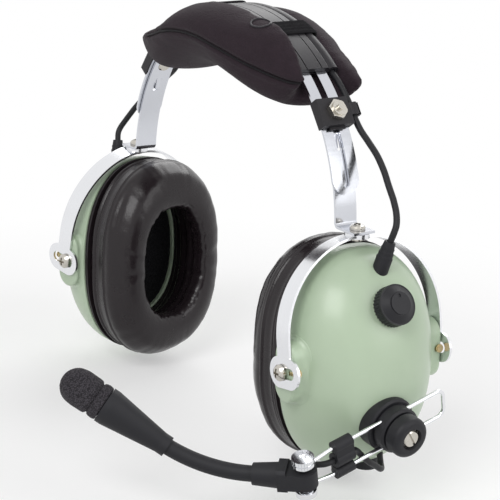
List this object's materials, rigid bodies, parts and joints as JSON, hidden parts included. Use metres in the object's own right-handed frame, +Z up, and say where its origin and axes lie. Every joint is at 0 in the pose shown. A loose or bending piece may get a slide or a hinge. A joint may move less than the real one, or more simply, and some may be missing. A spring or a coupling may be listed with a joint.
{
  "type": "aviation headset",
  "caption": "Over-ear aviation headset with a padded spring headband, sliding ear cups hung in steel stirrups, a volume knob and a microphone on an adjustable wire boom.",
  "frame": {"origin": "midway between the two ear cups on the line of their tilt pivots, where the wearer's ears lie", "axes": "+Z up through the top of the headband, +X towards the wearer's left ear and the boom, the wearer faces -Y"},
  "size_m": [0.2938, 0.1857, 0.2119],
  "materials": {
    "bright_steel": "bright plated spring steel, drawn along its length",
    "slide_steel": "bright steel strip with a faint grain",
    "cover_plastic": "semi-gloss moulded plastic",
    "pad_fabric": "brushed knit fabric over foam, sewn seam",
    "snap": "raised welt",
    "strap_elastic": "ribbed elastic",
    "cord_rubber": "matte rubber",
    "block_nylon": "matte nylon",
    "nickel": "nickel plate",
    "spring_brass": "plated spring wire",
    "dome_plastic": "semi-gloss sage moulding",
    "ring_plastic": "dark moulding",
    "seal_vinyl": "glossy soft vinyl over gel",
    "liner_foam": "open foam under mesh",
    "driver_frame": "moulded frame",
    "knob_plastic": "fluted moulding",
    "boom_plastic": "matte moulding",
    "neck_rubber": "matte rubber sleeve",
    "capsule": "drawn can",
    "screen_foam": "fine open foam"
  },
  "bodies": {
    "headband": {"spring_band": "bright_steel", "band_cover": "cover_plastic", "head_pad": "pad_fabric", "pad_snap": "snap", "pad_straps": "strap_elastic", "cord_top": "cord_rubber"},
    "left_slide": {"left_slide": "slide_steel", "left_adjuster_block": "block_nylon", "left_adjuster_screw": "nickel", "left_adjuster_nut": "nickel", "left_cord_run": "cord_rubber"},
    "left_stirrup": {"left_stirrup": "slide_steel", "left_swivel_screw": "nickel"},
    "left_cup": {"left_dome": "dome_plastic", "left_pivot_screws": "nickel", "left_slot_springs": "spring_brass", "left_seal_ring": "ring_plastic", "left_ear_seal": "seal_vinyl", "left_foam_liner": "liner_foam", "left_driver": "driver_frame", "left_cord_boot": "cord_rubber", "lead_gland": "cord_rubber", "volume_pot": "nickel", "boom_flange": "boom_plastic", "mic_lead_rear": "cord_rubber"},
    "right_slide": {"right_slide": "slide_steel", "right_adjuster_block": "block_nylon", "right_adjuster_screw": "nickel", "right_adjuster_nut": "nickel", "right_cord_run": "cord_rubber"},
    "right_stirrup": {"right_stirrup": "slide_steel", "right_swivel_screw": "nickel"},
    "right_cup": {"right_dome": "dome_plastic", "right_pivot_screws": "nickel", "right_slot_springs": "spring_brass", "right_seal_ring": "ring_plastic", "right_ear_seal": "seal_vinyl", "right_foam_liner": "liner_foam", "right_driver": "driver_frame", "right_cord_boot": "cord_rubber"},
    "volume_knob": {"volume_knob": "knob_plastic"},
    "boom_hub": {"boom_hub": "boom_plastic"},
    "boom_knob": {"boom_knob": "boom_plastic", "boom_knob_screw": "nickel"},
    "boom_rod": {"boom_wire": "bright_steel", "lead_clip": "boom_plastic", "boom_pin": "nickel"},
    "boom_arm": {"boom_fitting": "boom_plastic", "gooseneck": "neck_rubber", "mic_boot": "neck_rubber", "mic_capsule": "capsule", "windscreen": "screen_foam", "mic_lead_front": "cord_rubber"}
  },
  "joints": [
    {"name": "left_adjust", "type": "hinge", "parent": "headband", "child": "left_slide", "pos_m": [0, 0, 0.05668], "axis": [0, 1, 0], "range_deg": [-5, 15], "deforming": ["left_cord_run"]},
    {"name": "right_adjust", "type": "hinge", "parent": "headband", "child": "right_slide", "pos_m": [0, 0, 0.05668], "axis": [0, -1, 0], "range_deg": [-7, 13], "deforming": ["right_cord_run"]},
    {"name": "left_swivel", "type": "hinge", "parent": "left_slide", "child": "left_stirrup", "pos_m": [0.1007, 0, 0.06166], "axis": [0, 0, 1], "range_deg": [-15, 18], "deforming": ["left_cord_run"]},
    {"name": "right_swivel", "type": "hinge", "parent": "right_slide", "child": "right_stirrup", "pos_m": [-0.10081, 0, 0.05814], "axis": [-0.035, 0, 0.9994], "range_deg": [-12, 18], "deforming": ["right_cord_run"]},
    {"name": "left_tilt", "type": "hinge", "parent": "left_stirrup", "child": "left_cup", "pos_m": [0.10916, -0.00037, 0], "axis": [0.0436, 0.999, 0], "range_deg": [-8, 7], "deforming": ["left_cord_run"]},
    {"name": "right_tilt", "type": "hinge", "parent": "right_stirrup", "child": "right_cup", "pos_m": [-0.10699, -0.00147, -0.00378], "axis": [0.1735, -0.9848, 0.0061], "range_deg": [-10, 5], "deforming": ["right_cord_run"]},
    {"name": "volume_turn", "type": "hinge", "parent": "left_cup", "child": "volume_knob", "pos_m": [0.13087, -0.00232, 0.03268], "axis": [0.8756, -0.0382, 0.4815], "range_deg": [-150, 150]},
    {"name": "boom_swing", "type": "hinge", "parent": "left_cup", "child": "boom_hub", "pos_m": [0.13776, -0.00392, -0.02223], "axis": [0.9921, 0.0289, -0.122], "range_deg": [-20, 100], "deforming": ["mic_lead_rear"]},
    {"name": "boom_knob_turn", "type": "hinge", "parent": "boom_hub", "child": "boom_knob", "pos_m": [0.13776, -0.00392, -0.02223], "axis": [0.9921, 0.0289, -0.122], "range_deg": [-45, 45]},
    {"name": "boom_reach", "type": "slide", "parent": "boom_hub", "child": "boom_rod", "axis": [-0.0041, -0.9652, -0.2615], "range_m": [-0.012, 0.017], "deforming": ["mic_lead_rear"]},
    {"name": "arm_swivel", "type": "hinge", "parent": "boom_rod", "child": "boom_arm", "pos_m": [0.14251, -0.05493, -0.0367], "axis": [0.1253, -0.26, 0.9574], "range_deg": [-28, 45], "deforming": ["mic_lead_front"]}
  ]
}
